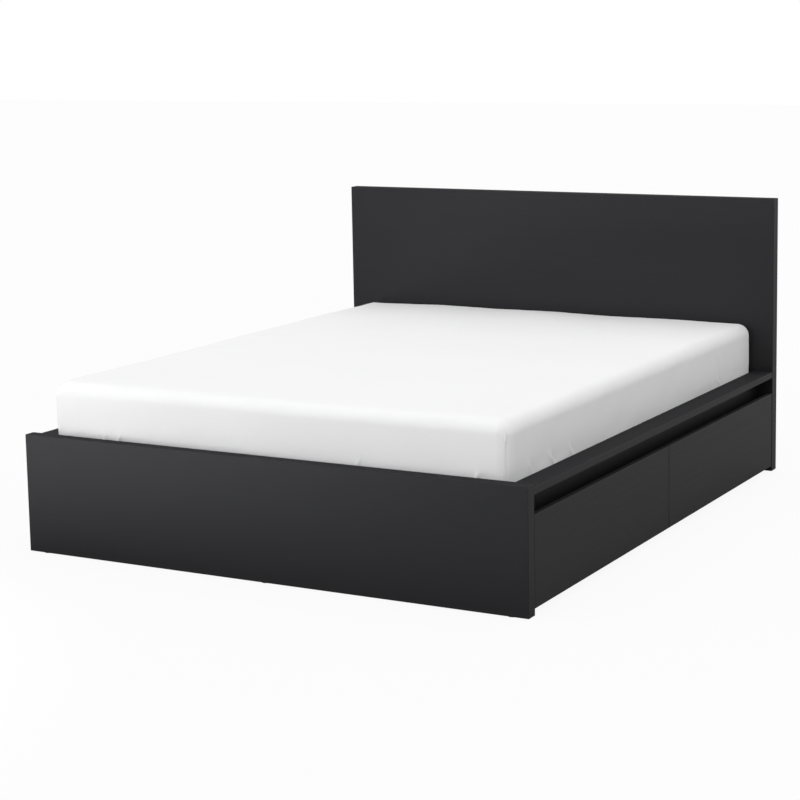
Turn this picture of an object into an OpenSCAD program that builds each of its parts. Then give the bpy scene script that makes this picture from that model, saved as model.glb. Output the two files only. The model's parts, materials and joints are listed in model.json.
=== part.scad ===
// Platform bed with four rolling storage drawers, in millimetres.
// The origin is on the floor under the middle of the bed. The footboard is at -Y,
// the headboard at +Y, and +Z is up.

/* [Bed frame] */
// Overall width, along the footboard and the headboard
bed_w = 1760; // [1560:10:1960]
// Overall length, from the footboard's face to the headboard's back
bed_l = 2090; // [1990:10:2190]
// Height of the headboard
head_h = 1000; // [800:10:1200]
// Height of the footboard and of the headboard's lower panel
foot_h = 380; // [375:5:420]
// Thickness of the headboard
head_t = 45; // [40:1:50]
// Thickness of the footboard
foot_t = 40; // [36:1:50]
// Width of the eased edges of every foil-covered board
edge_ease = 1; // [0.3:0.1:1.5]

/* [Sides] */
// Width of the ledge beside the mattress
ledge_w = 76; // [64:1:100]
// Thickness of the ledge
ledge_t = 22; // [18:1:28]
// How far the ledge lies below the footboard's top
ledge_drop = 10; // [6:1:16]
// How far the ledge and the drawer fronts stand back from the end boards' ends
side_inset = 1; // [0.5:0.5:3]
// Thickness of the side rail
rail_t = 18; // [16:1:22]
// Depth of the side rail below the ledge
rail_h = 123; // [110:1:130]

/* [Drawers] */
// Depth of a drawer, from its front's face to the back of its box
drawer_depth = 590; // [450:5:640]
// Thickness of a drawer front
front_t = 18; // [16:1:22]
// Gap under a drawer front
front_clear = 22; // [15:1:30]
// Height of the finger gap between a drawer front and the ledge
finger_gap = 56; // [45:1:65]
// Gap at each end of a drawer front
front_gap = 2.5; // [1.5:0.5:4]
// Thickness of the drawer box's sides and back
box_t = 12; // [10:1:16]
// Height of the drawer box's top edge above the floor
box_top = 205; // [150:5:210]
// Thickness of the drawer's bottom panel
bottom_t = 8; // [6:1:10]
// Radius of a drawer's wheel
wheel_r = 20; // [16:1:21]

/* [Sleeping surface] */
// Height of the mattress
mattress_h = 240; // [160:10:300]
// Gap between the mattress and the frame around it
mattress_gap = 3; // [2.5:0.5:8]
// Height of the slats' top, where the mattress lies
slat_top = 315; // [312:1:325]
// Slats on each side of the midbeam
slat_count = 17; // [12:1:20]

/* [Hidden] */
ROOT_NODES = [
    "headboard_upper_panel", "headboard_lower_panel", "headboard_dowels", "headboard_cam_fittings",
    "footboard", "side_rail_right", "side_rail_left", "side_ledge_right", "side_ledge_left",
    "ledge_dowels", "slat_bearer_right", "slat_bearer_left", "bearer_screws", "midbeam_outer",
    "midbeam_inner", "midbeam_brackets", "corner_brackets", "frame_bolts", "slats_right",
    "slats_left", "slat_straps", "floor_glides", "mattress", "fitted_sheet"
];
DRAWERS = ["drawer_right_foot", "drawer_right_head", "drawer_left_foot", "drawer_left_head"];
DRAWER_PARTS = ["front", "back", "sides", "bottom", "castor_forks"];
WHEELS = [0 : 3];
$fn = 48;

BOARD = [0.10, 0.095, 0.095];
BOARD_INSIDE = [0.16, 0.15, 0.15];
BIRCH = [0.80, 0.68, 0.50];
STEEL = [0.62, 0.63, 0.65];
DARK_STEEL = [0.22, 0.22, 0.23];
PLASTIC = [0.12, 0.12, 0.13];
TYRE = [0.30, 0.30, 0.31];
WEBBING = [0.85, 0.85, 0.82];
LINEN = [0.96, 0.96, 0.96];

// Planes of the frame
half_w = bed_w / 2;
foot_y = -bed_l / 2;
head_y = bed_l / 2;
in_foot_y = foot_y + foot_t;
in_head_y = head_y - head_t;
in_l = in_head_y - in_foot_y;
mid_y = (in_foot_y + in_head_y) / 2;
glide_h = 3;
ledge_out = half_w - side_inset;
rail_in = ledge_out - ledge_w;
ledge_top = foot_h - ledge_drop;
ledge_under = ledge_top - ledge_t;
rail_under = ledge_under - rail_h;

// Fits: how far a cut runs past the face that it opens, and the room at a blind bore's end
pin_fit = 0.05;
slip = 0.2;
past = 1;
bore_end = 0.5;

// Slats, bearers and midbeam
slat_w = 53;
slat_t = 8;
slat_under = slat_top - slat_t;
slat_end_margin = 45;
slat_in = 10;
slat_corner = 6;
slat_rail_gap = 13;
slat_pitch = (in_l - 2 * slat_end_margin) / (slat_count - 1);
strap_w = 25;
strap_t = 1.2;
strap_from_beam = 60;
strap_from_rail = 50;
bearer_leg = 30;
bearer_t = 2;
bearer_end = 5;
beam_w = 60;
beam_h = 40;
beam_wall = 1.8;
inner_w = beam_w - 2 * (beam_wall + slip);
inner_h = beam_h - 2 * (beam_wall + slip);
beam_overlap = 500;
beam_end_gap = 1;
beam_axis_z = slat_under - beam_h / 2;
slat_out = rail_in - slat_rail_gap;

// Brackets, bolts and screws
bracket_t = 3;
bracket_leg = 40;
bracket_h = 46;
bracket_drop = 2;
bracket_z = slat_under - bearer_leg - bracket_drop - bracket_h;
plate_w = 100;
plate_h = 62;
cradle_l = 60;
cradle_h = 25;
bolt_r = 3;
bolt_head_r = 5;
bolt_head_h = 3;
bolt_l = 15;
bolt_inset = 11;
socket_r = 2.3;
socket_h = 2;
plate_bolt_x = 42;
plate_bolt_low = 10;
plate_bolt_high = 12;
screw_r = 2;
screw_head_r = 4;
screw_head_h = 2;
screw_l = 14;
screw_count = 7;
screw_margin = 80;
screw_up = 9;
cross = [1, 4.8];
cross_h = 1;

// Wooden dowels, and cam fittings halfway between the headboard's dowels
dowel_r = 4;
dowel_up = 12;
dowel_down = 18;
ledge_dowel_count = 8;
ledge_dowel_margin = 60;
head_dowel_count = 6;
head_dowel_margin = 80;
head_dowel_pitch = (bed_w - 2 * head_dowel_margin) / (head_dowel_count - 1);
head_dowel_x = [-2.5, -1.5, -0.5, 0.5, 1.5, 2.5] * head_dowel_pitch;
dowel_in = 14;
dowel_y = in_head_y + dowel_in;
cam_x = [-2, -1, 1, 2] * head_dowel_pitch;
cam_r = 7.4;
cam_h = 12.5;
cam_drop = 34;
cam_recess = 0.3;
cam_slot = [8, 1.6];
cam_slot_h = 1.5;
cam_bolt_up = 11;
cam_bolt_from = 2;
cam_bolt_in = 8;
cam_bolt_y = head_y - cam_bolt_in;

// Glides
glide_r = 14;
glide_pin_r = 4;
glide_pin_l = 12;
glide_margin = 60;
glide_x = [-half_w + glide_margin, 0, half_w - glide_margin];

// Mattress and fitted sheet
sheet_t = 1.2;
sheet_slip = 0.1;
sheet_tuck = 80;
soft_r = 45;
mattress_w = 2 * (rail_in - mattress_gap);
end_gap_less = 0.5;
mattress_end_gap = mattress_gap - end_gap_less;
mattress_l = in_l - 2 * mattress_end_gap;
mattress_under = slat_top + sheet_t + 3 * sheet_slip;

// Drawers, each drawn on the right side about its own middle
front_w = (in_l - 3 * front_gap) / 2;
front_top = ledge_under - finger_gap;
front_x = ledge_out - front_t;
back_x = ledge_out - drawer_depth;
box_inset = 12;
box_half = front_w / 2 - box_inset;
box_under = 34;
castor_h = 46;
groove = 5;
castor_in = 60;
fork_t = 3;
fork_plate = [56, 40];
cheek_w = 24;
wheel_w = 18;
wheel_gap = 0.4;
axle_r = 2.5;
axle_over = 1.2;
hub_r = 7;
web_half = 3;
web_flare = 1;
rim_t = 5;
rim_set = 1;
tread_ease = 2;
castor_x = [back_x + castor_in, front_x - castor_in];
castor_y = [-box_half + castor_in, box_half - castor_in];

function right_side(d) = d < 2;
function drawer_y(d) = mid_y + (d % 2 == 0 ? -1 : 1) * (front_w + front_gap) / 2;
function wheel_x(w) = castor_x[w % 2];
function wheel_y(w) = castor_y[floor(w / 2)];
function spread(lo, hi, n, i) = lo + (hi - lo) * i / (n - 1);

// A block between its lowest and highest corners
module block(lo, hi) {
    translate(lo) cube(hi - lo);
}

// A rectangle from the origin with its corners cut off by the eased edge
module eased_rectangle(w, h) {
    e = edge_ease;
    polygon([[e, 0], [w - e, 0], [w, e], [w, h - e], [w - e, h], [e, h], [0, h - e], [0, e]]);
}

// A board between its lowest and highest corners, with all its edges eased
module board(lo, hi) {
    size = hi - lo;
    translate(lo) intersection() {
        linear_extrude(size.z) eased_rectangle(size.x, size.y);
        translate([0, size.y, 0]) rotate([90, 0, 0]) linear_extrude(size.y) eased_rectangle(size.x, size.z);
        rotate([90, 0, 90]) linear_extrude(size.x) eased_rectangle(size.y, size.z);
    }
}

// The right-hand side's shape, mirrored to the left when asked
module on_side(right = true) {
    mirror([right ? 0 : 1, 0, 0]) children();
}

module both_sides() {
    on_side(true) children();
    on_side(false) children();
}

// A drawer's shape, drawn on the right about its own middle, at its place in the bed
module at_drawer(d) {
    on_side(right_side(d)) translate([0, drawer_y(d), 0]) children();
}

// A cylinder along X, starting at the origin and running to +X
module rod_x(r, l) {
    rotate([0, 90, 0]) cylinder(r = r, h = l);
}

// A cylinder along Y, starting at the origin and running to +Y
module rod_y(r, l) {
    rotate([-90, 0, 0]) cylinder(r = r, h = l);
}

// A hexagon-socket bolt along +Y: its shaft starts at the origin, its head lies behind it
module bolt_y(grow = 0) {
    rod_y(bolt_r + grow, bolt_l + (grow > 0 ? bore_end : 0));
    if (grow == 0) difference() {
        translate([0, -bolt_head_h, 0]) rod_y(bolt_head_r, bolt_head_h);
        translate([0, -bolt_head_h - past, 0]) rotate([-90, 0, 0])
            cylinder(r = socket_r, h = past + socket_h, $fn = 6);
    }
}

// Places a corner bracket at every corner; the first corner is right, at the footboard
module at_corners() {
    both_sides() {
        translate([rail_in, in_foot_y, bracket_z]) children();
        translate([rail_in, in_head_y, bracket_z]) mirror([0, 1, 0]) children();
    }
}

// Places a midbeam bracket against the inner face of each end board
module at_beam_ends() {
    translate([0, in_foot_y, 0]) children(0);
    translate([0, in_head_y, 0]) mirror([0, 1, 0]) children(1);
}

// The four bolts of a corner bracket: two into the end board, two into the rail
module corner_bolts(grow = 0) {
    for (z = [bolt_inset, bracket_h - bolt_inset]) {
        translate([-bracket_leg + bolt_inset, bracket_t, z]) rotate([0, 0, 180]) bolt_y(grow);
        translate([-bracket_t, bracket_leg - bolt_inset, z]) rotate([0, 0, -90]) bolt_y(grow);
    }
}

// The four bolts of a midbeam bracket
module beam_bolts(grow = 0) {
    z_low = slat_under - plate_h + plate_bolt_low;
    for (x = [-plate_bolt_x, plate_bolt_x], z = [z_low, slat_under - plate_bolt_high])
        translate([x, bracket_t, z]) rotate([0, 0, 180]) bolt_y(grow);
}

module all_frame_bolts(grow = 0) {
    at_corners() corner_bolts(grow);
    at_beam_ends() {
        beam_bolts(grow);
        beam_bolts(grow);
    }
}

// Places something at each floor glide of an end board whose middle is at y
module at_glides(y) {
    for (x = glide_x) translate([x, y, 0]) children();
}

module glide_bores(y) {
    at_glides(y) translate([0, 0, glide_h - past])
        cylinder(r = glide_pin_r + pin_fit, h = past + glide_pin_l + bore_end);
}

module headboard_upper_panel() {
    color(BOARD) difference() {
        board([-half_w, in_head_y, foot_h], [half_w, head_y, head_h]);
        for (x = head_dowel_x)
            translate([x, dowel_y, foot_h - past])
                cylinder(r = dowel_r + pin_fit, h = dowel_down + 2 * past);
        for (x = cam_x)
            translate([x, cam_bolt_y, foot_h - past])
                cylinder(r = bolt_r + pin_fit, h = past + cam_bolt_up + bore_end);
    }
}

module headboard_lower_panel() {
    color(BOARD) difference() {
        board([-half_w, in_head_y, glide_h], [half_w, head_y, foot_h]);
        for (x = head_dowel_x)
            translate([x, dowel_y, foot_h - dowel_down - past])
                cylinder(r = dowel_r + pin_fit, h = dowel_down + 2 * past);
        for (x = cam_x) {
            translate([x, cam_bolt_y, foot_h - cam_drop])
                cylinder(r = bolt_r + slip, h = cam_drop + past);
            translate([x, head_y - cam_h - bore_end, foot_h - cam_drop])
                rod_y(cam_r + pin_fit, bore_end + cam_h + past);
        }
        all_frame_bolts(pin_fit);
        glide_bores((in_head_y + head_y) / 2);
    }
}

module headboard_dowels() {
    color(BIRCH) for (x = head_dowel_x)
        translate([x, dowel_y, foot_h - dowel_down]) cylinder(r = dowel_r, h = 2 * dowel_down);
}

// A slotted cam disc in the lower panel's back, and the bolt that it draws down
module headboard_cam_fittings() {
    cam_z = foot_h - cam_drop;
    slot_in = cam_recess + cam_slot_h;
    color(STEEL) for (x = cam_x) {
        difference() {
            translate([x, head_y - cam_h, cam_z]) rod_y(cam_r, cam_h - cam_recess);
            translate([x, cam_bolt_y, cam_z]) cylinder(r = bolt_r + 2 * slip, h = 2 * cam_r);
            block([x - cam_slot.x / 2, head_y - slot_in, cam_z - cam_slot.y / 2],
                [x + cam_slot.x / 2, head_y, cam_z + cam_slot.y / 2]);
        }
        translate([x, cam_bolt_y, cam_z + cam_bolt_from])
            cylinder(r = bolt_r, h = cam_drop - cam_bolt_from + cam_bolt_up);
    }
}

module footboard() {
    color(BOARD) difference() {
        board([-half_w, foot_y, glide_h], [half_w, in_foot_y, foot_h]);
        all_frame_bolts(pin_fit);
        glide_bores((foot_y + in_foot_y) / 2);
    }
}

// Where each ledge dowel stands, along the rail
module at_ledge_dowels() {
    for (i = [0 : ledge_dowel_count - 1])
        translate([
            rail_in + rail_t / 2,
            spread(in_foot_y + ledge_dowel_margin, in_head_y - ledge_dowel_margin, ledge_dowel_count, i),
            ledge_under - dowel_down
        ]) children();
}

module ledge_dowel_bores() {
    at_ledge_dowels() translate([0, 0, -bore_end])
        cylinder(r = dowel_r + pin_fit, h = dowel_down + dowel_up + 2 * bore_end);
}

// Where each bearer screw goes in, with its shaft along +X
module at_bearer_screws() {
    for (i = [0 : screw_count - 1])
        translate([
            rail_in - bearer_t,
            spread(in_foot_y + screw_margin, in_head_y - screw_margin, screw_count, i),
            slat_under - bearer_leg + screw_up
        ]) children();
}

module side_rail(right) {
    on_side(right) color(BOARD) difference() {
        board([rail_in, in_foot_y, rail_under], [rail_in + rail_t, in_head_y, ledge_under]);
        ledge_dowel_bores();
        at_bearer_screws() rod_x(screw_r + pin_fit, screw_l + bore_end);
        all_frame_bolts(pin_fit);
    }
}

module side_ledge(right) {
    on_side(right) color(BOARD) difference() {
        board([rail_in, in_foot_y, ledge_under], [ledge_out, in_head_y, ledge_top]);
        ledge_dowel_bores();
    }
}

module ledge_dowels() {
    color(BIRCH) both_sides() at_ledge_dowels() cylinder(r = dowel_r, h = dowel_down + dowel_up);
}

// Steel angle on the rail's inner face, with the slats' ends on its upper leg
module slat_bearer(right) {
    y0 = in_foot_y + bearer_end;
    y1 = in_head_y - bearer_end;
    on_side(right) color(DARK_STEEL) difference() {
        union() {
            block([rail_in - bearer_t, y0, slat_under - bearer_leg], [rail_in, y1, slat_under]);
            block([rail_in - bearer_leg, y0, slat_under - bearer_t], [rail_in, y1, slat_under]);
        }
        at_bearer_screws() translate([-past, 0, 0]) rod_x(screw_r + pin_fit, bearer_t + 2 * past);
    }
}

module bearer_screws() {
    color(STEEL) both_sides() at_bearer_screws() {
        rod_x(screw_r, screw_l);
        difference() {
            translate([-screw_head_h, 0, 0]) rod_x(screw_head_r, screw_head_h);
            for (arm = [cross, [cross.y, cross.x]])
                block([-screw_head_h - past, -arm.x / 2, -arm.y / 2],
                    [-screw_head_h + cross_h, arm.x / 2, arm.y / 2]);
        }
    }
}

// A square tube along Y, centred on the midbeam's axis
module beam_tube(w, h, y0, y1) {
    translate([0, y0, beam_axis_z]) rotate([-90, 0, 0]) linear_extrude(y1 - y0) difference() {
        square([w, h], center = true);
        square([w - 2 * beam_wall, h - 2 * beam_wall], center = true);
    }
}

module midbeam_outer() {
    color(DARK_STEEL)
        beam_tube(beam_w, beam_h, in_foot_y + bracket_t + beam_end_gap, mid_y + beam_overlap / 2);
}

module midbeam_inner() {
    color(STEEL)
        beam_tube(inner_w, inner_h, mid_y - beam_overlap / 2, in_head_y - bracket_t - beam_end_gap);
}

// A folded bracket whose cradle holds a beam of the given size
module beam_bracket(w, h) {
    half = w / 2 + slip;
    under = beam_axis_z - h / 2;
    block([-plate_w / 2, 0, slat_under - plate_h], [plate_w / 2, bracket_t, slat_under]);
    block([-half - bracket_t, 0, under - bracket_t], [half + bracket_t, cradle_l, under]);
    for (side = [0, 1]) mirror([side, 0, 0])
        block([half, 0, under - bracket_t], [half + bracket_t, cradle_l, under + cradle_h]);
}

module midbeam_brackets() {
    color(STEEL) difference() {
        at_beam_ends() {
            beam_bracket(beam_w, beam_h);
            beam_bracket(inner_w, inner_h);
        }
        all_frame_bolts(pin_fit);
    }
}

module corner_brackets() {
    color(STEEL) difference() {
        at_corners() {
            block([-bracket_leg, 0, 0], [0, bracket_t, bracket_h]);
            block([-bracket_t, 0, 0], [0, bracket_leg, bracket_h]);
        }
        all_frame_bolts(pin_fit);
    }
}

module frame_bolts() {
    color(STEEL) all_frame_bolts();
}

// One slat with rounded corners, lying along X
module slat() {
    l = slat_out - slat_in;
    translate([slat_in, -slat_w / 2, slat_under]) linear_extrude(slat_t) {
        translate([slat_corner, 0]) square([l - 2 * slat_corner, slat_w]);
        translate([0, slat_corner]) square([l, slat_w - 2 * slat_corner]);
        for (x = [slat_corner, l - slat_corner], y = [slat_corner, slat_w - slat_corner])
            translate([x, y]) circle(r = slat_corner, $fn = 24);
    }
}

module slats(right) {
    on_side(right) color(BIRCH) for (i = [0 : slat_count - 1])
        translate([0, in_foot_y + slat_end_margin + i * slat_pitch, 0]) slat();
}

// Woven straps under the slats, two to each roll, that keep the slats apart
module slat_straps() {
    y0 = in_foot_y + slat_end_margin - slat_w / 2;
    y1 = in_head_y - slat_end_margin + slat_w / 2;
    color(WEBBING) both_sides() for (x = [slat_in + strap_from_beam, slat_out - strap_from_rail])
        block([x - strap_w / 2, y0, slat_under - strap_t], [x + strap_w / 2, y1, slat_under]);
}

module floor_glides() {
    color(PLASTIC) for (y = [(foot_y + in_foot_y) / 2, (in_head_y + head_y) / 2]) at_glides(y) {
        cylinder(r = glide_r, h = glide_h);
        cylinder(r = glide_pin_r, h = glide_h + glide_pin_l);
    }
}

// An upright block with rounded corners and a rounded top edge
module soft_block(w, l, h, r) {
    hull() for (x = [-w / 2 + r, w / 2 - r], y = [-l / 2 + r, l / 2 - r]) translate([x, y, 0]) {
        cylinder(r = r, h = h - r, $fn = 32);
        translate([0, 0, h - r]) sphere(r = r, $fn = 32);
    }
}

module mattress() {
    color(LINEN) translate([0, mid_y, mattress_under])
        soft_block(mattress_w, mattress_l, mattress_h, soft_r);
}

// A skin over the mattress, tucked under it all round
module fitted_sheet() {
    grow = sheet_t + sheet_slip;
    color(LINEN) translate([0, mid_y, slat_top]) difference() {
        soft_block(mattress_w + 2 * grow, mattress_l + 2 * grow,
            mattress_under + mattress_h + grow - slat_top, soft_r + grow);
        translate([0, 0, sheet_t]) soft_block(mattress_w + 2 * sheet_slip, mattress_l + 2 * sheet_slip,
            mattress_under + mattress_h + sheet_slip - slat_top - sheet_t, soft_r + sheet_slip);
        block([-mattress_w / 2 + sheet_tuck, -mattress_l / 2 + sheet_tuck, -past],
            [mattress_w / 2 - sheet_tuck, mattress_l / 2 - sheet_tuck, sheet_t + past]);
    }
}

// The bottom panel, or the space that it takes in the grooves around it
module drawer_bottom_panel(grow = 0) {
    deep = groove - bore_end + grow;
    block([back_x + box_t - deep, -box_half + box_t - deep, castor_h - grow],
        [front_x + deep, box_half - box_t + deep, castor_h + bottom_t + grow]);
}

module drawer_front(d) {
    color(BOARD) at_drawer(d) difference() {
        board([front_x, -front_w / 2, front_clear], [ledge_out, front_w / 2, front_top]);
        drawer_bottom_panel(slip);
    }
}

module drawer_back(d) {
    color(BOARD_INSIDE) at_drawer(d) difference() {
        board([back_x, -box_half + box_t, box_under], [back_x + box_t, box_half - box_t, box_top]);
        drawer_bottom_panel(slip);
    }
}

module drawer_sides(d) {
    color(BOARD_INSIDE) at_drawer(d) for (side = [0, 1]) mirror([0, side, 0]) difference() {
        board([back_x, box_half - box_t, box_under], [front_x, box_half, box_top]);
        drawer_bottom_panel(slip);
    }
}

module drawer_bottom(d) {
    color(BOARD_INSIDE) at_drawer(d) drawer_bottom_panel();
}

// Four forks under the bottom panel, each with its axle
module drawer_castor_forks(d) {
    gap = wheel_w / 2 + wheel_gap;
    at_drawer(d) for (w = WHEELS) translate([wheel_x(w), wheel_y(w), 0]) {
        color(PLASTIC) difference() {
            union() {
                block([-fork_plate.x / 2, -fork_plate.y / 2, castor_h - fork_t],
                    [fork_plate.x / 2, fork_plate.y / 2, castor_h]);
                for (side = [0, 1]) mirror([0, side, 0]) {
                    block([-cheek_w / 2, gap, wheel_r], [cheek_w / 2, gap + fork_t, castor_h - fork_t]);
                    translate([0, gap, wheel_r]) rod_y(cheek_w / 2, fork_t);
                }
            }
            translate([0, -gap - fork_t - past, wheel_r])
                rod_y(axle_r + pin_fit, 2 * (gap + fork_t + past));
        }
        color(STEEL) translate([0, -gap - fork_t - axle_over, wheel_r])
            rod_y(axle_r, 2 * (gap + fork_t + axle_over));
    }
}

// A wheel on its axle: hub, web and rim with eased edges
module drawer_wheel(d, w) {
    half = wheel_w / 2;
    right_half = [
        [axle_r + pin_fit, half], [hub_r, half], [hub_r + web_flare, web_half],
        [wheel_r - rim_t - web_flare, web_half], [wheel_r - rim_t, half - rim_set],
        [wheel_r - tread_ease, half - rim_set], [wheel_r, half - rim_set - tread_ease]
    ];
    left_half = [for (i = [len(right_half) - 1 : -1 : 0]) [right_half[i].x, -right_half[i].y]];
    color(TYRE) at_drawer(d) translate([wheel_x(w), wheel_y(w), wheel_r]) rotate([-90, 0, 0])
        rotate_extrude($fn = 72) polygon(concat(right_half, left_half));
}

headboard_upper_panel();
headboard_lower_panel();
headboard_dowels();
headboard_cam_fittings();
footboard();
side_rail(true);  // side_rail_right
side_rail(false);  // side_rail_left
side_ledge(true);  // side_ledge_right
side_ledge(false);  // side_ledge_left
ledge_dowels();
slat_bearer(true);  // slat_bearer_right
slat_bearer(false);  // slat_bearer_left
bearer_screws();
midbeam_outer();
midbeam_inner();
midbeam_brackets();
corner_brackets();
frame_bolts();
slats(true);  // slats_right
slats(false);  // slats_left
slat_straps();
floor_glides();
mattress();
fitted_sheet();
for (d = [0 : len(DRAWERS) - 1]) {
    drawer_front(d);
    drawer_back(d);
    drawer_sides(d);
    drawer_bottom(d);
    drawer_castor_forks(d);
    for (w = WHEELS)
        drawer_wheel(d, w);
}
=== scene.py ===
import json
import math

import bpy
import numpy as np
from bpy.props import FloatProperty, FloatVectorProperty, IntProperty, PointerProperty
from mathutils import Matrix, Vector

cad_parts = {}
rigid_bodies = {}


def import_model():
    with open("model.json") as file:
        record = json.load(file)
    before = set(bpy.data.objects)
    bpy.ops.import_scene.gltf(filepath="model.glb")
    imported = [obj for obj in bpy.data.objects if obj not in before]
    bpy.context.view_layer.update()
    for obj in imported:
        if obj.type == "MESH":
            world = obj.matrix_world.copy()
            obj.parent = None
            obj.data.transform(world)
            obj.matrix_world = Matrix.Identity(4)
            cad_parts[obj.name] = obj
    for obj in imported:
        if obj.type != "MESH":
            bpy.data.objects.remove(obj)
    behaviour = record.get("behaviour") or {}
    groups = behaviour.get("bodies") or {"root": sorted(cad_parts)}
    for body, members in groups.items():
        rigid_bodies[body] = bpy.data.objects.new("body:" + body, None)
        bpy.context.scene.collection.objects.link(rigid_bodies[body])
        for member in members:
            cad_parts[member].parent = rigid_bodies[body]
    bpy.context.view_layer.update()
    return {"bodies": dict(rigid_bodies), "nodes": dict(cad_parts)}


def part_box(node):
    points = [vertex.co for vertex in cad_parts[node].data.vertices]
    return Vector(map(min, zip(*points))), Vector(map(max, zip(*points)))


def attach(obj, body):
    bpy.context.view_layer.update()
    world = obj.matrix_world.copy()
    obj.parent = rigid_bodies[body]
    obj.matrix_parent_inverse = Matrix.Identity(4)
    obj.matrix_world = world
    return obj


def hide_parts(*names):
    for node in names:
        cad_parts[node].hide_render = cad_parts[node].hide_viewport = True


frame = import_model()

bl_info = {
    "name": "Storage Bed Dressing",
    "version": (1, 0, 0),
    "blender": (4, 5, 0),
    "location": "3D View > Sidebar > Bed",
    "description": "Finishes a storage bed's boards and steelwork, and makes its bedding and slat tapes",
    "category": "Object",
}

ROOT = "bed_frame"
DRAWERS = sorted(body for body in frame["bodies"] if body.startswith("drawer_"))
END_BOARDS = ("headboard_upper_panel", "headboard_lower_panel", "footboard")
SIDE_BOARDS = ("side_rail_right", "side_rail_left", "side_ledge_right", "side_ledge_left")
RNG_SEED = 11

# Mesh lines close up to this cell within this reach of a fold
CROWD_REACH = 0.014
CROWD_CELL = 0.004

# Steps over a rounded edge, and the mattress's mesh cell
SHEET_EDGE_STEPS = 12
MATTRESS_EDGE_STEPS = 6
MATTRESS_CELL = 0.02

# Where a surface counts as flat along one axis, and as level
FLAT_FACING = 0.95
LEVEL_NORMAL = 0.99

# The quilting's pitch and depth, and the grooves beside the mattress's rounded edges
QUILT_PITCH = 0.2
QUILT_DEPTH = 0.003
GROOVE_HALF = 0.006
GROOVE_DEPTH = 0.002

# Slats on each side and their width, and the tapes' half width and the inner tapes' place, as the frame
# has them
SLAT_COUNT = 17
SLAT_WIDTH = 0.053
TAPE_HALF = 0.0125
TAPE_FROM_MIDDLE = 0.07

# The tapes' own thickness, cupping, mesh and weave
TAPE_THICKNESS = 0.001
TAPE_CUP = 0.0004
TAPE_ACROSS = 7
CHEVRON_WIDTH = 0.00625
YARN_PITCH = 0.0022
RIB_PITCH = 0.0016

# The studio, in metres and degrees, and the camera's sensor in millimetres
FLOOR_HALF = 30.0
FLOOR_GLOW = 1.08
LIGHT_FROM = (-0.08, -0.26, 0.96)
LAMP_AT = (-2.0, -4.9, 4.2)
LAMP_AIM = (-1.8, -3.6, 0)
LAMP_ANGLE = 50
LAMP_SOFTNESS = 0.3
SENSOR_WIDTH = 36

# Places of the sheet's small folds, along X on its two ends and along Y on its two sides
END_FOLDS = (-0.60, -0.545, 0.31, 0.70)
SIDE_FOLDS = (-0.86, -0.71, -0.58, 0.12, 0.66)

# A colour Mix node's two colour inputs and its colour output, by number
MIX_FIRST, MIX_SECOND, MIX_RESULT = 6, 7, 2


# ---------------------------------------------------------------- settings


def colour(name, description, value):
    return FloatVectorProperty(
        name=name, description=description, subtype="COLOR", size=3, min=0, max=1, default=value
    )


def length(name, description, value):
    return FloatProperty(
        name=name, description=description, subtype="DISTANCE", unit="LENGTH", default=value
    )


def share(name, description, value, high=1.0):
    return FloatProperty(name=name, description=description, min=0, max=high, default=value)


class BoardSettings(bpy.types.PropertyGroup):
    foil: colour("Foil", "Colour of the foil on the frame and the drawer fronts", (0.0060, 0.0060, 0.0063))
    grain: colour("Grain", "Colour of the lighter streaks in the foil", (0.0098, 0.0098, 0.0102))
    # Painted shade, not a colour of the foil: it darkens the eased edges to a thin dark line and the faces
    # that look straight up or down
    edge: colour("Edge line", "Colour of the foil along the eased edges", (0.0025, 0.0025, 0.0026))
    inside: colour("Inside", "Colour of the foil inside the drawers", (0.062, 0.061, 0.059))
    grain_length: length("Grain length", "Usual length of a streak of grain", 0.9)
    grain_width: length("Grain width", "Usual width of a streak of grain", 0.006)
    sheen_tint: colour("Sheen tint", "Colour of the foil's reflections", (0.93, 0.93, 1.0))
    gloss: share("Gloss", "Strength of the foil's reflections", 0.42)
    level_dulling: share("Level dulling", "How much rougher the foil is on level faces", 0.42)
    roughness: share("Roughness", "Roughness of the satin foil", 0.5)


class BeddingSettings(bpy.types.PropertyGroup):
    corner_radius: length("Corner radius", "Radius of the mattress's edges and corners", 0.043)
    crown: length("Crown", "Height of the mattress's middle above its edges", 0.010)
    bulge: length("Bulge", "How far the mattress's sides swell above the frame", 0.001)
    cell: length("Mesh cell", "Size of the sheet's mesh cells", 0.022)
    cloth: length("Cloth", "Thickness of the fitted sheet", 0.0011)
    tuck: length("Tuck", "Width of the sheet turned under the mattress", 0.08)
    ripple: length("Ripple", "Height of the sheet's broad ripples", 0.0020)
    pucker: length("Pucker", "Height of the small folds above the frame", 0.0050)
    seam: length("Seam", "Depth of the seam down each corner", 0.0011)
    pinch_drop: length("Pinch drop", "How far below the top each corner seam is pinched", 0.052)
    gap: length("Gap", "Room between the mattress and the sheet, for the sheet's ripples", 0.010)
    sheet: colour("Sheet", "Colour of the cotton sheet", (0.845, 0.845, 0.85))
    ticking: colour("Ticking", "Colour of the mattress cover", (0.74, 0.73, 0.70))


class SlatSettings(bpy.types.PropertyGroup):
    birch: colour("Birch", "Colour of the slats and dowels", (0.62, 0.44, 0.25))
    birch_dark: colour("Birch grain", "Colour of the darker grain", (0.48, 0.31, 0.16))
    tape: colour("Tape", "Colour of the woven tapes", (0.72, 0.71, 0.66))
    tape_sag: length("Tape sag", "How far a tape hangs between two slats", 0.004)
    tape_cells: IntProperty(name="Tape cells", description="Mesh cells between two slats", default=12, min=4)


class HardwareSettings(bpy.types.PropertyGroup):
    coat: colour("Powder coat", "Colour of the coated steel", (0.030, 0.030, 0.032))
    zinc: colour("Zinc", "Colour of the zinc-plated steel", (0.56, 0.57, 0.59))
    plastic: colour("Plastic", "Colour of the castor forks and glides", (0.018, 0.018, 0.020))
    wheel: colour("Wheel", "Colour of the wheels", (0.085, 0.086, 0.090))


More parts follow.
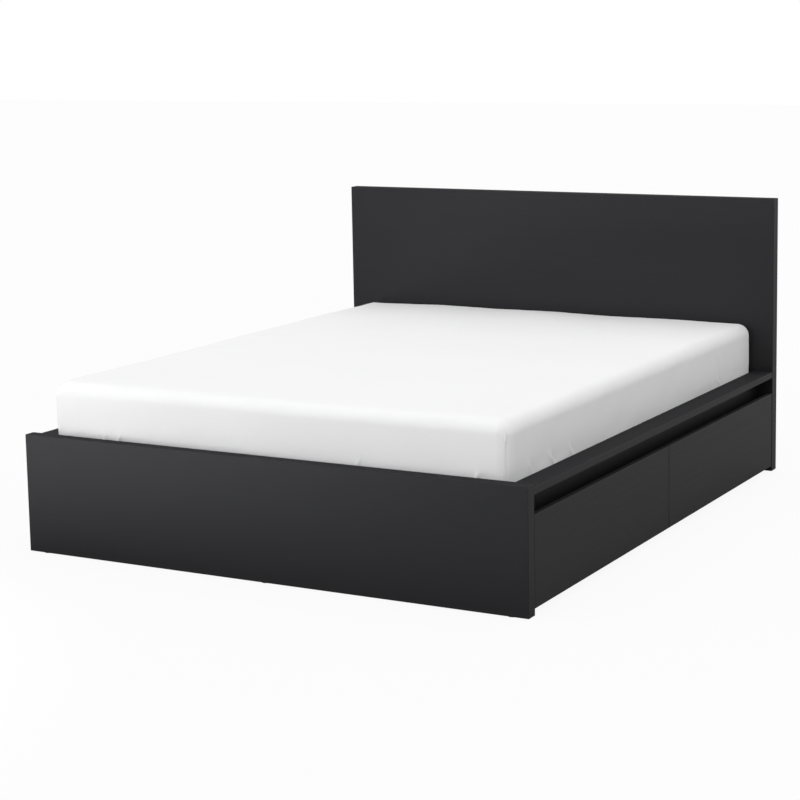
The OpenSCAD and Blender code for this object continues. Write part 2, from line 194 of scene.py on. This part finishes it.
class StageSettings(bpy.types.PropertyGroup):
    camera_x: length("Camera X", "Camera's place to the right of the bed's middle", 3.262)
    camera_y: length("Camera Y", "Camera's place along the bed, from its middle", -5.963)
    camera_z: length("Camera Z", "Camera's height", 1.658)
    turn: FloatProperty(name="Turn", description="Camera's turn to the left", subtype="ANGLE",
                        default=math.radians(28.3))
    tilt: FloatProperty(name="Tilt", description="Camera's tilt above level", subtype="ANGLE",
                        default=math.radians(-8.44))
    roll: FloatProperty(name="Roll", description="Camera's roll", subtype="ANGLE",
                        default=math.radians(-0.9))
    lens: FloatProperty(name="Lens", description="Focal length in millimetres", default=91.4, min=10)
    shift_x: FloatProperty(name="Shift X", description="Sideways lens shift", default=-0.05)
    shift_y: FloatProperty(name="Shift Y", description="Upward lens shift", default=-0.10)
    floor: colour("Floor", "Colour of the studio floor", (0.38, 0.38, 0.38))
    floor_gap: length("Floor gap", "How far the floor lies below the glides", 0.0005)
    floor_glow: share("Floor glow", "Share of the floor's look that is its own even light", 0.85)
    sky: share("Sky", "Strength of the overhead light", 1.35, 10)
    fill: share("Fill", "Strength of the even light from all round", 0.63, 10)
    pool: share("Pool", "Power of the lamp that lights the floor before the footboard", 12500, 30000)


GROUPS = {
    "bed_boards": BoardSettings,
    "bed_bedding": BeddingSettings,
    "bed_slats": SlatSettings,
    "bed_hardware": HardwareSettings,
    "bed_stage": StageSettings,
}


# --------------------------------------------------------------- materials


class Graph:
    """A node tree being put together."""

    def __init__(self, tree):
        self.tree = tree

    def feed(self, value, socket):
        """Links a node's output to a socket, or gives the socket a fixed value."""
        if isinstance(value, bpy.types.NodeSocket):
            self.tree.links.new(value, socket)
        elif socket.type == "RGBA":
            socket.default_value = (*value[:3], 1)
        else:
            socket.default_value = value

    def node(self, kind, inputs, **settings):
        made = self.tree.nodes.new("ShaderNode" + kind)
        for name, value in settings.items():
            setattr(made, name, value)
        for key, value in inputs.items():
            self.feed(value, made.inputs[key])
        return made


class Finish(Graph):
    """A material: its node tree and its Principled shader."""

    def __init__(self, name, base, roughness, **sockets):
        self.material = bpy.data.materials.new(name)
        self.material.use_nodes = True
        self.material.diffuse_color = (*base[:3], 1)
        super().__init__(self.material.node_tree)
        self.shader = self.tree.nodes["Principled BSDF"]
        self.put("Base Color", base)
        self.put("Roughness", roughness)
        for socket, value in sockets.items():
            self.put(socket.replace("_", " "), value)

    def put(self, socket, value):
        self.feed(value, self.shader.inputs[socket])

    def places(self, *cycles):
        """Object coordinates multiplied by so many cycles a metre along X, Y and Z."""
        place = self.node("TexCoord", {}).outputs["Object"]
        return self.node("Mapping", {"Vector": place, "Scale": cycles}).outputs["Vector"]

    def noise(self, where, scale=1.0, detail=2.0, roughness=0.5):
        inputs = {"Vector": where, "Scale": scale, "Detail": detail, "Roughness": roughness}
        return self.node("TexNoise", inputs).outputs["Fac"]

    def between(self, value, low, high, to_low=0.0, to_high=1.0):
        """value from low to high turned into to_low to to_high, and held there outside."""
        inputs = {"Value": value, "From Min": low, "From Max": high, "To Min": to_low, "To Max": to_high}
        return self.node("MapRange", inputs).outputs["Result"]

    def math(self, operation, *values):
        return self.node("Math", dict(enumerate(values)), operation=operation).outputs["Value"]

    def mix(self, amount, first, second):
        """first where amount is 0, second where it is 1."""
        made = self.node("Mix", {0: amount, MIX_FIRST: first, MIX_SECOND: second}, data_type="RGBA")
        return made.outputs[MIX_RESULT]

    def bump(self, height, distance, strength=1.0):
        inputs = {"Height": height, "Distance": distance, "Strength": strength}
        self.put("Normal", self.node("Bump", inputs).outputs["Normal"])

    def facings(self):
        """How much of the surface's direction each of the axes X, Y and Z carries, from 0 to 1."""
        facing = self.node("TexCoord", {}).outputs["Normal"]
        return [self.math("ABSOLUTE", part) for part in self.node("SeparateXYZ", {0: facing}).outputs]


def foil_finish(name, s, base, grain, along):
    """Satin printed foil: long faint streaks along one axis, with finer pores and slow clouds of tone.
    The eased edges, where no axis carries the surface's direction alone, get a painted dark line of shade,
    and faces that look straight up or down are duller than upright ones and darkened with painted shade."""
    fine = 1 / s.grain_width
    coarse = 1 / s.grain_length
    made = Finish(name, base, s.roughness, Specular_IOR_Level=s.gloss, Specular_Tint=(*s.sheen_tint, 1))
    streak_scale, pore_scale, cloud_scale = [fine] * 3, [fine * 5] * 3, [3.0] * 3
    streak_scale[along] = coarse
    pore_scale[along] = coarse * 22
    cloud_scale[along] = 0.7
    streaks = made.noise(made.places(*streak_scale), detail=5, roughness=0.62)
    pores = made.noise(made.places(*pore_scale), detail=2)
    clouds = made.noise(made.places(*cloud_scale), detail=3)
    tone = made.math("MULTIPLY_ADD", clouds, 0.45, made.math("MULTIPLY", streaks, 0.55))
    face = made.mix(made.between(tone, 0.36, 0.64), base, grain)
    pored = made.mix(made.between(pores, 0.60, 0.72, 0.0, 0.30), face, [c * 0.6 for c in base])
    sides = made.facings()
    largest = made.math("MAXIMUM", made.math("MAXIMUM", sides[0], sides[1]), sides[2])
    level = made.math("GREATER_THAN", sides[2], FLAT_FACING)
    # Painted shade: faces that look straight up or down take the dark shade colour
    faces = made.mix(level, pored, s.edge)
    # Painted shade: the eased edges take the dark shade colour as a thin line
    eased = made.math("LESS_THAN", largest, FLAT_FACING)
    made.put("Base Color", made.mix(eased, faces, s.edge))
    satin = made.between(streaks, 0.3, 0.7, s.roughness - 0.03, s.roughness + 0.03)
    made.put("Roughness", made.math("MULTIPLY_ADD", level, s.level_dulling, satin))
    made.bump(made.math("MULTIPLY_ADD", pores, -0.4, streaks), 0.00012, 0.5)
    return made.material


def birch_finish(name, s, along):
    """Birch: soft grain along one axis, and thin ply lines stacked in height."""
    made = Finish(name, s.birch, 0.55, Specular_IOR_Level=0.3)
    scale = [70.0] * 3
    scale[along] = 2.6
    grain = made.noise(made.places(*scale), detail=6, roughness=0.6)
    broad = [9.0] * 3
    broad[along] = 0.8
    figure = made.noise(made.places(*broad), detail=3)
    blend = made.math("MULTIPLY_ADD", figure, 0.6, made.math("MULTIPLY", grain, 0.4))
    tone = made.between(blend, 0.35, 0.68)
    face = made.mix(tone, s.birch, s.birch_dark)
    plies = made.node("TexWave", {"Vector": made.places(0, 0, 1), "Scale": 98.0, "Distortion": 0.4},
                      bands_direction="Z").outputs["Fac"]
    lined = made.mix(made.between(plies, 0.80, 0.95, 0.0, 0.25), face, s.birch_dark)
    made.put("Base Color", lined)
    made.put("Roughness", made.between(grain, 0.3, 0.7, 0.48, 0.62))
    made.bump(grain, 0.0002, 0.5)
    return made.material


def coated_steel_finish(name, s):
    """Powder coat: the fine orange peel of a baked paint."""
    made = Finish(name, s.coat, 0.42)
    peel = made.noise(made.places(900, 900, 900), detail=1)
    dust = made.noise(made.places(14, 14, 14), detail=4)
    dusty = made.between(dust, 0.4, 0.75, 0.0, 0.5)
    made.put("Base Color", made.mix(dusty, s.coat, [c * 1.5 for c in s.coat]))
    made.put("Roughness", made.between(dust, 0.3, 0.7, 0.38, 0.50))
    made.bump(peel, 0.00008, 0.35)
    return made.material


def zinc_finish(name, s):
    """Zinc plate: a metal with faint crystal patches and rolling marks."""
    made = Finish(name, s.zinc, 0.34, Metallic=1.0)
    patches = made.node("TexVoronoi", {"Vector": made.places(160, 160, 160)}, feature="SMOOTH_F1")
    grey = made.node("RGBToBW", {0: patches.outputs["Color"]}).outputs[0]
    marks = made.noise(made.places(40, 900, 900), detail=3)
    made.put("Base Color", made.mix(made.between(grey, 0.2, 0.8), s.zinc, [c * 0.82 for c in s.zinc]))
    made.put("Roughness", made.between(marks, 0.3, 0.7, 0.28, 0.42))
    made.bump(marks, 0.00003, 0.3)
    return made.material


def plastic_finish(name, base, roughness):
    """Moulded plastic: a fine spark texture and slight flow marks."""
    made = Finish(name, base, roughness)
    spark = made.noise(made.places(1400, 1400, 1400), detail=1)
    flow = made.noise(made.places(30, 30, 30), detail=3)
    made.put("Base Color", made.mix(made.between(flow, 0.35, 0.7), base, [c * 1.35 for c in base]))
    made.put("Roughness", made.between(flow, 0.3, 0.7, roughness - 0.05, roughness + 0.06))
    made.bump(spark, 0.00006, 0.4)
    return made.material


def tape_finish(name, s):
    """Woven tape: chevrons of yarn across the width, read from the tape's own UV map in metres."""
    made = Finish(name, s.tape, 0.85, Sheen_Weight=0.25)
    flat = made.node("UVMap", {}, uv_map="tape").outputs["UV"]
    across = made.node("SeparateXYZ", {0: flat}).outputs
    folded = made.math("PINGPONG", across[0], CHEVRON_WIDTH)
    slanted = made.math("ADD", across[1], folded)
    yarn = made.math("SINE", made.math("MULTIPLY", slanted, 2 * math.pi / YARN_PITCH))
    ribs = made.math("SINE", made.math("MULTIPLY", across[0], 2 * math.pi / RIB_PITCH))
    weave = made.math("MULTIPLY_ADD", yarn, 0.6, made.math("MULTIPLY", ribs, 0.4))
    made.put("Base Color", made.mix(made.between(weave, -0.8, 0.8), [c * 0.72 for c in s.tape], s.tape))
    made.bump(weave, 0.0002, 0.6)
    return made.material


def ticking_finish(name, s):
    """Mattress ticking: a small knitted diamond with a soft nap."""
    made = Finish(name, s.ticking, 0.9, Sheen_Weight=0.3)
    ribs = [
        made.node("TexWave", {"Vector": made.places(way, 1, 1), "Scale": 90.0}, bands_direction="DIAGONAL")
        for way in (1, -1)
    ]
    knit = made.math("MULTIPLY", ribs[0].outputs["Fac"], ribs[1].outputs["Fac"])
    nap = made.noise(made.places(500, 500, 500), detail=2)
    made.put("Base Color", made.mix(made.between(knit, 0.1, 0.7), [c * 0.9 for c in s.ticking], s.ticking))
    made.bump(made.math("MULTIPLY_ADD", nap, 0.4, knit), 0.0004, 0.6)
    return made.material


def cotton_finish(name, s):
    """Smooth cotton: a barely seen crossing of threads under faint ironed-in softness."""
    made = Finish(name, s.sheet, 0.78, Specular_IOR_Level=0.25, Sheen_Weight=0.12, Sheen_Roughness=0.5)
    warp = made.noise(made.places(1500, 60, 1500), detail=1)
    weft = made.noise(made.places(60, 1500, 60), detail=1)
    threads = made.math("ADD", warp, weft)
    soft = made.noise(made.places(5, 5, 5), detail=4, roughness=0.55)
    softened = made.between(soft, 0.35, 0.7, 0.0, 0.35)
    made.put("Base Color", made.mix(softened, s.sheet, [c * 0.985 for c in s.sheet]))
    made.put("Roughness", made.between(threads, 0.7, 1.3, 0.74, 0.84))
    made.bump(made.math("MULTIPLY_ADD", threads, 0.05, soft), 0.0016, 0.30)
    return made.material


def floor_finish(name, s):
    """A pale studio floor with a hardly seen mottle, lit from within as well so that shadows stay faint."""
    made = Finish(name, s.floor, 0.95, Specular_IOR_Level=0.0)
    mottle = made.noise(made.places(0.6, 0.6, 0.6), detail=3)
    made.put("Base Color", made.mix(mottle, s.floor, [c * 0.99 for c in s.floor]))
    glow = made.node("Emission", {"Color": (1, 1, 1), "Strength": FLOOR_GLOW}).outputs["Emission"]
    seen = made.node("LightPath", {}).outputs["Is Camera Ray"]
    share_lit = made.math("MULTIPLY", seen, s.floor_glow)
    mixed = made.node("MixShader", {0: share_lit, 1: made.shader.outputs[0], 2: glow}).outputs["Shader"]
    made.feed(mixed, made.tree.nodes["Material Output"].inputs["Surface"])
    return made.material


def dress(material, *nodes):
    """Gives CAD nodes their material."""
    for name in nodes:
        slots = frame["nodes"][name].data.materials
        slots.clear()
        slots.append(material)


# ---------------------------------------------------------------- surfaces


def edge_lines(half, radius, steps, cell, crowded):
    """Grid lines from -half to half. Over each rounded edge they stand at the radius times the tangent of
    angles up to 45 degrees, which close up towards the last. Between the edges they are about a cell
    apart, and close up in a bell curve of CROWD_REACH to CROWD_CELL round each crowded place."""
    left = 1 - np.linspace(0, 1, steps + 1)[1:]
    bend = radius * np.tan(math.pi / 4 * (1 - left**1.6))
    flat = half - radius
    line = np.linspace(-flat, flat, 4001)
    density = np.full(line.shape, 1 / cell)
    for place in crowded:
        density += np.exp(-(((line - place) / CROWD_REACH) ** 2)) / CROWD_CELL
    count = np.concatenate([[0], np.cumsum((density[1:] + density[:-1]) / 2)]) * (line[1] - line[0])
    middle = np.interp(np.linspace(0, count[-1], max(2, round(count[-1])) + 1), count, line)
    return np.concatenate([-flat - bend[::-1], middle, flat + bend])


def box_grid(half, radius, steps, cell, crowded=((), (), ())):
    """The surface of a box as one closed grid of quads: each face is the product of two sets of edge
    lines, and points that faces share are merged. Returns the points and the quads."""
    lines = [edge_lines(h, radius, steps, cell, places) for h, places in zip(half, crowded)]
    points, quads, count = [], [], 0
    for axis in range(3):
        across, up = (axis + 1) % 3, (axis + 2) % 3
        a, b = np.meshgrid(lines[across], lines[up], indexing="ij")
        corner = np.arange(a.size).reshape(a.shape)
        ring = np.stack([corner[:-1, :-1], corner[1:, :-1], corner[1:, 1:], corner[:-1, 1:]], -1)
        ring = ring.reshape(-1, 4)
        for side in (-1, 1):
            face = np.empty((a.size, 3))
            face[:, axis] = side * half[axis]
            face[:, across] = a.ravel()
            face[:, up] = b.ravel()
            points.append(face)
            quads.append((ring if side > 0 else ring[:, ::-1]) + count)
            count += a.size
    points = np.concatenate(points)
    kept, place = np.unique(np.round(points, 7), axis=0, return_inverse=True)
    return kept, place.reshape(-1)[np.concatenate(quads)]


def round_off(points, half, radius):
    """Rounds a box's surface: each point is the nearest point of the box shrunk by the radius, plus the
    radius along the unit vector from there to the point. Returns the new points and that unit normal."""
    core = np.clip(points, -(half - radius), half - radius)
    out = points - core
    normal = out / np.linalg.norm(out, axis=1, keepdims=True)
    return core + radius * normal, normal


def ripples(points, rng, waves, low, high):
    """A smooth random height: the mean of sine waves in random directions, from low to high in length."""
    total = np.zeros(len(points))
    for _ in range(waves):
        turn = rng.normal(size=3)
        turn /= np.linalg.norm(turn)
        size = math.exp(rng.uniform(math.log(low), math.log(high)))
        total += np.sin(points @ turn * 2 * math.pi / size + rng.uniform(0, 2 * math.pi))
    return total / math.sqrt(waves)


def make_mesh(name, points, faces, body, smooth=True):
    """A mesh object at the origin that rides on a body."""
    data = bpy.data.meshes.new(name)
    data.from_pydata(points.tolist(), [], faces.tolist())
    data.polygons.foreach_set("use_smooth", np.full(len(faces), smooth))
    data.update()
    made = bpy.data.objects.new(name, data)
    bpy.context.collection.objects.link(made)
    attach(made, body)
    return made


def give(piece, material):
    piece.data.materials.append(material)


# ----------------------------------------------------------------- bedding


def frame_line():
    """The height of the ledge's top, above which the bedding is free to swell."""
    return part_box("side_ledge_right")[1][2]


def swell(points, normal, centre, half, s):
    """How the filling moves the bedding's surface: the top rises by the crown times one minus the cube of
    the distance from the middle on each axis, and the sides move out in an arch above the frame."""
    u = np.abs(points[:, 0]) / half[0]
    v = np.abs(points[:, 1]) / half[1]
    crown = s.crown * np.clip(1 - u**3, 0, 1) * np.clip(1 - v**3, 0, 1) * (normal[:, 2] > 0) * normal[:, 2]
    free = (points[:, 2] + centre[2] - frame_line()) / (centre[2] + half[2] - frame_line())
    arch = s.bulge * np.sin(np.pi * np.clip(free, 0, 1)) * np.linalg.norm(normal[:, :2], axis=1)
    moved = points.copy()
    moved[:, 2] += crown
    moved[:, :2] += normal[:, :2] * arch[:, None]
    return moved


def puckers(points, normal, centre, rng, s):
    """Small folds where the sheet leaves the frame, on all four sides: each is a ridge that leans, a bell
    curve across with a hollow beside it, and a longer bell curve in height."""
    height = np.zeros(len(points))
    base = frame_line() - centre[2]
    for axis, places in ((1, END_FOLDS), (0, SIDE_FOLDS)):
        for place, side in ((place, side) for place in places for side in (-1, 1)):
            facing = np.clip(normal[:, axis] * side, 0, 1) ** 2
            wide = rng.uniform(0.005, 0.008)
            tall = rng.uniform(0.020, 0.034)
            top = base + rng.uniform(0.006, 0.012)
            lean = rng.uniform(-0.7, -0.3) * side
            across = (points[:, 1 - axis] - place - lean * (points[:, 2] - top)) / wide
            shape = np.exp(-(across**2)) - 0.6 * np.exp(-((across - 1.7) ** 2))
            height += facing * rng.uniform(0.6, 1.0) * shape * np.exp(-(((points[:, 2] - top) / tall) ** 2))
    return s.pucker * height


def corner_seams(points, half, s):
    """The seam down each upright corner, as a height over the distance round the corner from it: a narrow
    groove between two low ridges, and near its top a short pinch, which is a ridge on one side of the
    groove and a hollow on the other."""
    flat = half[:2] - s.corner_radius
    out = np.abs(points[:, :2]) - flat
    at_corner = (out > 0).all(axis=1)
    arc = (np.arctan2(out[:, 1], out[:, 0]) - math.pi / 4) * s.corner_radius
    groove = 0.7 * np.exp(-(((np.abs(arc) - 0.006) / 0.004) ** 2)) - np.exp(-((arc / 0.0025) ** 2))
    down = half[2] - points[:, 2]
    fade = np.clip((down - 0.02) / 0.03, 0, 1)
    pinch = np.exp(-(((arc - 0.003) / 0.0035) ** 2)) - 0.5 * np.exp(-(((arc + 0.003) / 0.003) ** 2))
    pinch *= np.exp(-(((down - s.pinch_drop) / 0.011) ** 2))
    return np.where(at_corner, s.seam * (groove * fade + 4.5 * pinch), 0.0)


def bedding_half(node):
    low, high = (np.array(corner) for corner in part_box(node))
    return (low + high) / 2, (high - low) / 2


def sheet_surface(s):
    """The fitted sheet: the rounded mattress shape, swollen, rippled, puckered and seamed along its
    normal, with the middle of its underside left out so that a tuck is left all round."""
    centre, half = bedding_half("fitted_sheet")
    half = half - np.array([0, 0, s.crown / 2])
    centre = centre - np.array([0, 0, s.crown / 2])
    base = frame_line() - centre[2]
    heights = (base, base + 0.02, half[2] - s.pinch_drop)
    flat, quads = box_grid(half, s.corner_radius, SHEET_EDGE_STEPS, s.cell,
                           (END_FOLDS, SIDE_FOLDS, heights))
    points, normal = round_off(flat, half, s.corner_radius)
    rng = np.random.default_rng(RNG_SEED)
    above = np.clip((points[:, 2] + half[2] - 0.03) / 0.05, 0, 1)
    broad = s.ripple * ripples(points, rng, 14, 0.35, 1.3)
    fine = 0.22 * s.ripple * ripples(points * (1, 1, 1.6), rng, 14, 0.06, 0.22)
    height = (broad + fine) * above + puckers(points, normal, centre, rng, s)
    height += corner_seams(points, half, s) * above
    points = swell(points, normal, centre, half, s) + normal * height[:, None]
    middle = points[quads].mean(axis=1)
    under = middle[:, 2] < -half[2] + 0.002
    inner = (np.abs(middle[:, :2]) < half[:2] - s.tuck).all(axis=1)
    quads = quads[~(under & inner)]
    used, place = np.unique(quads, return_inverse=True)
    return points[used] + centre, place.reshape(quads.shape)


def mattress_surface(s):
    """The mattress: the same swollen shape, smaller by the gap, with a squared-cosine quilting pressed
    into its faces and a groove beside each of its upper and lower edges."""
    centre, half = bedding_half("mattress")
    lowered = (s.gap + s.crown) / 2
    half = half - np.array([s.gap, s.gap, lowered])
    centre = centre - np.array([0, 0, lowered])
    radius = s.corner_radius - s.gap
    flat, quads = box_grid(half, radius, MATTRESS_EDGE_STEPS, MATTRESS_CELL)
    points, normal = round_off(flat, half, radius)
    points = swell(points, normal, centre, half, s)
    waves = np.cos(points[:, :2] * 2 * math.pi / QUILT_PITCH)
    quilt = (waves[:, 0] * waves[:, 1]) ** 2
    level = np.abs(normal[:, 2]) > LEVEL_NORMAL
    groove = ~level & (np.abs(np.abs(points[:, 2]) - half[2] + radius) < GROOVE_HALF)
    pressed = np.where(level, QUILT_DEPTH * quilt, np.where(groove, GROOVE_DEPTH, 0))
    points = points - normal * pressed[:, None]
    return points + centre, quads


class BED_OT_mattress(bpy.types.Operator):
    """Makes the quilted mattress that stands for the CAD block"""

    bl_idname = "bed.mattress"
    bl_label = "Mattress"

    def execute(self, context):
        s = context.scene.bed_bedding
        points, quads = mattress_surface(s)
        piece = make_mesh("quilted_mattress", points, quads, ROOT)
        give(piece, ticking_finish("Knitted ticking", s))
        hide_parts("mattress")
        return {"FINISHED"}


class BED_OT_sheet(bpy.types.Operator):
    """Makes the fitted sheet, stretched over the mattress and tucked under it"""

    bl_idname = "bed.sheet"
    bl_label = "Fitted sheet"

    def execute(self, context):
        s = context.scene.bed_bedding
        points, quads = sheet_surface(s)
        piece = make_mesh("stretched_sheet", points, quads, ROOT)
        thick = piece.modifiers.new("Cloth", "SOLIDIFY")
        thick.thickness = s.cloth
        thick.offset = -1
        give(piece, cotton_finish("White cotton", s))
        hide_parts("fitted_sheet")
        return {"FINISHED"}


# ------------------------------------------------------------------- slats


def tape_surface(x, s):
    """One tape under the slats: flat under each slat, and between two slats sagging as a squared sine."""
    low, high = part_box("slat_straps")
    slat_low, slat_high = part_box("slats_right")
    pitch = (slat_high[1] - slat_low[1] - SLAT_WIDTH) / (SLAT_COUNT - 1)
    along = np.linspace(low[1], high[1], (SLAT_COUNT - 1) * s.tape_cells + 1)
    across = np.linspace(-TAPE_HALF, TAPE_HALF, TAPE_ACROSS)
    y, u = np.meshgrid(along, across, indexing="ij")
    phase = (y - slat_low[1] - SLAT_WIDTH) / pitch
    gap = (pitch - SLAT_WIDTH) / pitch
    inside = np.clip((phase - np.floor(phase)) / gap, 0, 1)
    sag = s.tape_sag * np.sin(np.pi * inside) ** 2
    cup = TAPE_CUP * (u / TAPE_HALF) ** 2
    z = high[2] - sag - cup
    points = np.stack([np.full(y.shape, x) + u, y, z], -1).reshape(-1, 3)
    flat = np.stack([u + TAPE_HALF, y - low[1]], -1).reshape(-1, 2)
    corner = np.arange(y.size).reshape(y.shape)
    quads = np.stack([corner[:-1, :-1], corner[:-1, 1:], corner[1:, 1:], corner[1:, :-1]], -1)
    return points, quads.reshape(-1, 4)[:, ::-1], flat


class BED_OT_slats(bpy.types.Operator):
    """Finishes the slats and dowels, and makes the woven tapes that join the slats"""

    bl_idname = "bed.slats"
    bl_label = "Slats and tapes"

    def execute(self, context):
        s = context.scene.bed_slats
        dress(birch_finish("Birch slats", s, 0), "slats_right", "slats_left")
        dress(birch_finish("Birch dowels", s, 2), "headboard_dowels", "ledge_dowels")
        low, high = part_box("slat_straps")
        outer = high[0] - TAPE_HALF
        inner = TAPE_FROM_MIDDLE
        points, quads, flats, count = [], [], [], 0
        for x in (-outer, -inner, inner, outer):
            one, faces, flat = tape_surface(x, s)
            points.append(one)
            quads.append(faces + count)
            flats.append(flat)
            count += len(one)
        quads = np.concatenate(quads)
        piece = make_mesh("slat_tapes", np.concatenate(points), quads, ROOT)
        layer = piece.data.uv_layers.new(name="tape")
        layer.data.foreach_set("uv", np.concatenate(flats)[quads.ravel()].ravel())
        thick = piece.modifiers.new("Weave", "SOLIDIFY")
        thick.thickness = TAPE_THICKNESS
        thick.offset = -1
        give(piece, tape_finish("Woven tape", s))
        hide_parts("slat_straps")
        return {"FINISHED"}


# -------------------------------------------------------- boards, hardware


class BED_OT_boards(bpy.types.Operator):
    """Finishes the end boards, rails, ledges and drawers in satin foil"""

    bl_idname = "bed.boards"
    bl_label = "Boards"

    def execute(self, context):
        s = context.scene.bed_boards
        dress(foil_finish("Foil along X", s, s.foil, s.grain, 0), *END_BOARDS)
        fronts = [drawer + "_front" for drawer in DRAWERS]
        dress(foil_finish("Foil along Y", s, s.foil, s.grain, 1), *SIDE_BOARDS, *fronts)
        paler = [c * 1.3 for c in s.inside]
        dress(foil_finish("Drawer foil along X", s, s.inside, paler, 0), *(d + "_sides" for d in DRAWERS))
        dress(foil_finish("Drawer foil along Y", s, s.inside, paler, 1),
              *(d + part for d in DRAWERS for part in ("_back", "_bottom")))
        return {"FINISHED"}


class BED_OT_hardware(bpy.types.Operator):
    """Finishes the steelwork, fasteners, castors and glides"""

    bl_idname = "bed.hardware"
    bl_label = "Hardware"

    def execute(self, context):
        s = context.scene.bed_hardware
        dress(coated_steel_finish("Powder-coated steel", s), "slat_bearer_right", "slat_bearer_left",
              "midbeam_outer")
        dress(zinc_finish("Zinc-plated steel", s), "midbeam_inner", "midbeam_brackets", "corner_brackets",
              "frame_bolts", "bearer_screws", "headboard_cam_fittings")
        dress(plastic_finish("Black plastic", s.plastic, 0.5), "floor_glides",
              *(d + "_castor_forks" for d in DRAWERS))
        wheels = [name for name in frame["nodes"] if "_wheel_" in name]
        dress(plastic_finish("Grey wheel plastic", s.wheel, 0.42), *wheels)
        return {"FINISHED"}


# ------------------------------------------------------------------- stage


def studio_world(s):
    """Light from a wide bright sky before and above the bed, fading round it, and white to look at."""
    world = bpy.data.worlds.new("Studio")
    world.use_nodes = True
    world.node_tree.nodes.clear()
    graph = Graph(world.node_tree)
    away = graph.node("TexCoord", {}).outputs["Generated"]
    key = np.array(LIGHT_FROM)
    key /= np.linalg.norm(key)
    lean = graph.node("VectorMath", {0: away, 1: key}, operation="DOT_PRODUCT").outputs["Value"]
    glow = graph.node("MapRange", {"Value": lean, "From Min": 0.0, "From Max": 1.0, "To Min": s.fill,
                                   "To Max": s.sky}, interpolation_type="SMOOTHSTEP").outputs["Result"]
    lit = graph.node("Background", {"Color": (1, 1, 1), "Strength": glow}).outputs["Background"]
    seen = graph.node("Background", {"Color": (1, 1, 1), "Strength": 1.0}).outputs["Background"]
    straight = graph.node("LightPath", {}).outputs["Is Camera Ray"]
    mixed = graph.node("MixShader", {0: straight, 1: lit, 2: seen}).outputs["Shader"]
    graph.node("OutputWorld", {"Surface": mixed})
    return world


class BED_OT_stage(bpy.types.Operator):
    """Lays the pale floor and sets up the studio light and the camera"""

    bl_idname = "bed.stage"
    bl_label = "Stage"

    def execute(self, context):
        s = context.scene.bed_stage
        half = FLOOR_HALF
        data = bpy.data.meshes.new("studio_floor")
        low = -s.floor_gap
        corners = [(-half, -half, low), (half, -half, low), (half, half, low), (-half, half, low)]
        data.from_pydata(corners, [], [(0, 1, 2, 3)])
        floor = bpy.data.objects.new("studio_floor", data)
        context.collection.objects.link(floor)
        data.materials.append(floor_finish("Pale floor", s))

        context.scene.world = studio_world(s)
        lamp = bpy.data.lights.new("Floor lamp", "SPOT")
        lamp.energy = s.pool
        lamp.spot_size = math.radians(LAMP_ANGLE)
        lamp.spot_blend = 1.0
        lamp.shadow_soft_size = LAMP_SOFTNESS
        pool = bpy.data.objects.new("Floor lamp", lamp)
        pool.location = LAMP_AT
        aim = Vector(LAMP_AIM) - pool.location
        pool.rotation_euler = aim.to_track_quat("-Z", "Y").to_euler()
        context.collection.objects.link(pool)

        lens = bpy.data.cameras.new("Camera")
        lens.sensor_width = SENSOR_WIDTH
        lens.lens = s.lens
        lens.shift_x = s.shift_x
        lens.shift_y = s.shift_y
        camera = bpy.data.objects.new("Camera", lens)
        camera.location = (s.camera_x, s.camera_y, s.camera_z)
        turn = Matrix.Rotation(s.turn, 3, "Z") @ Matrix.Rotation(math.pi / 2 + s.tilt, 3, "X")
        camera.rotation_euler = (turn @ Matrix.Rotation(s.roll, 3, "Z")).to_euler()
        context.collection.objects.link(camera)
        context.scene.camera = camera
        context.scene.view_settings.view_transform = "Standard"
        return {"FINISHED"}


# ------------------------------------------------------------------ add-on


OPERATORS = (BED_OT_boards, BED_OT_hardware, BED_OT_slats, BED_OT_mattress, BED_OT_sheet, BED_OT_stage)


class BED_PT_dressing(bpy.types.Panel):
    """The bed's pieces and their settings"""

    bl_idname = "BED_PT_dressing"
    bl_label = "Storage bed"
    bl_space_type = "VIEW_3D"
    bl_region_type = "UI"
    bl_category = "Bed"

    def draw(self, context):
        for group, kind in GROUPS.items():
            box = self.layout.box()
            for name in kind.__annotations__:
                box.prop(getattr(context.scene, group), name)
        for operator in OPERATORS:
            self.layout.operator(operator.bl_idname)


CLASSES = (*GROUPS.values(), *OPERATORS, BED_PT_dressing)


def register():
    for made in CLASSES:
        bpy.utils.register_class(made)
    for group, kind in GROUPS.items():
        setattr(bpy.types.Scene, group, PointerProperty(type=kind))


def unregister():
    for group in GROUPS:
        delattr(bpy.types.Scene, group)
    for made in reversed(CLASSES):
        bpy.utils.unregister_class(made)


def main():
    register()
    for operator in OPERATORS:
        area, name = operator.bl_idname.split(".")
        getattr(getattr(bpy.ops, area), name)()


if __name__ == "__main__":
    main()
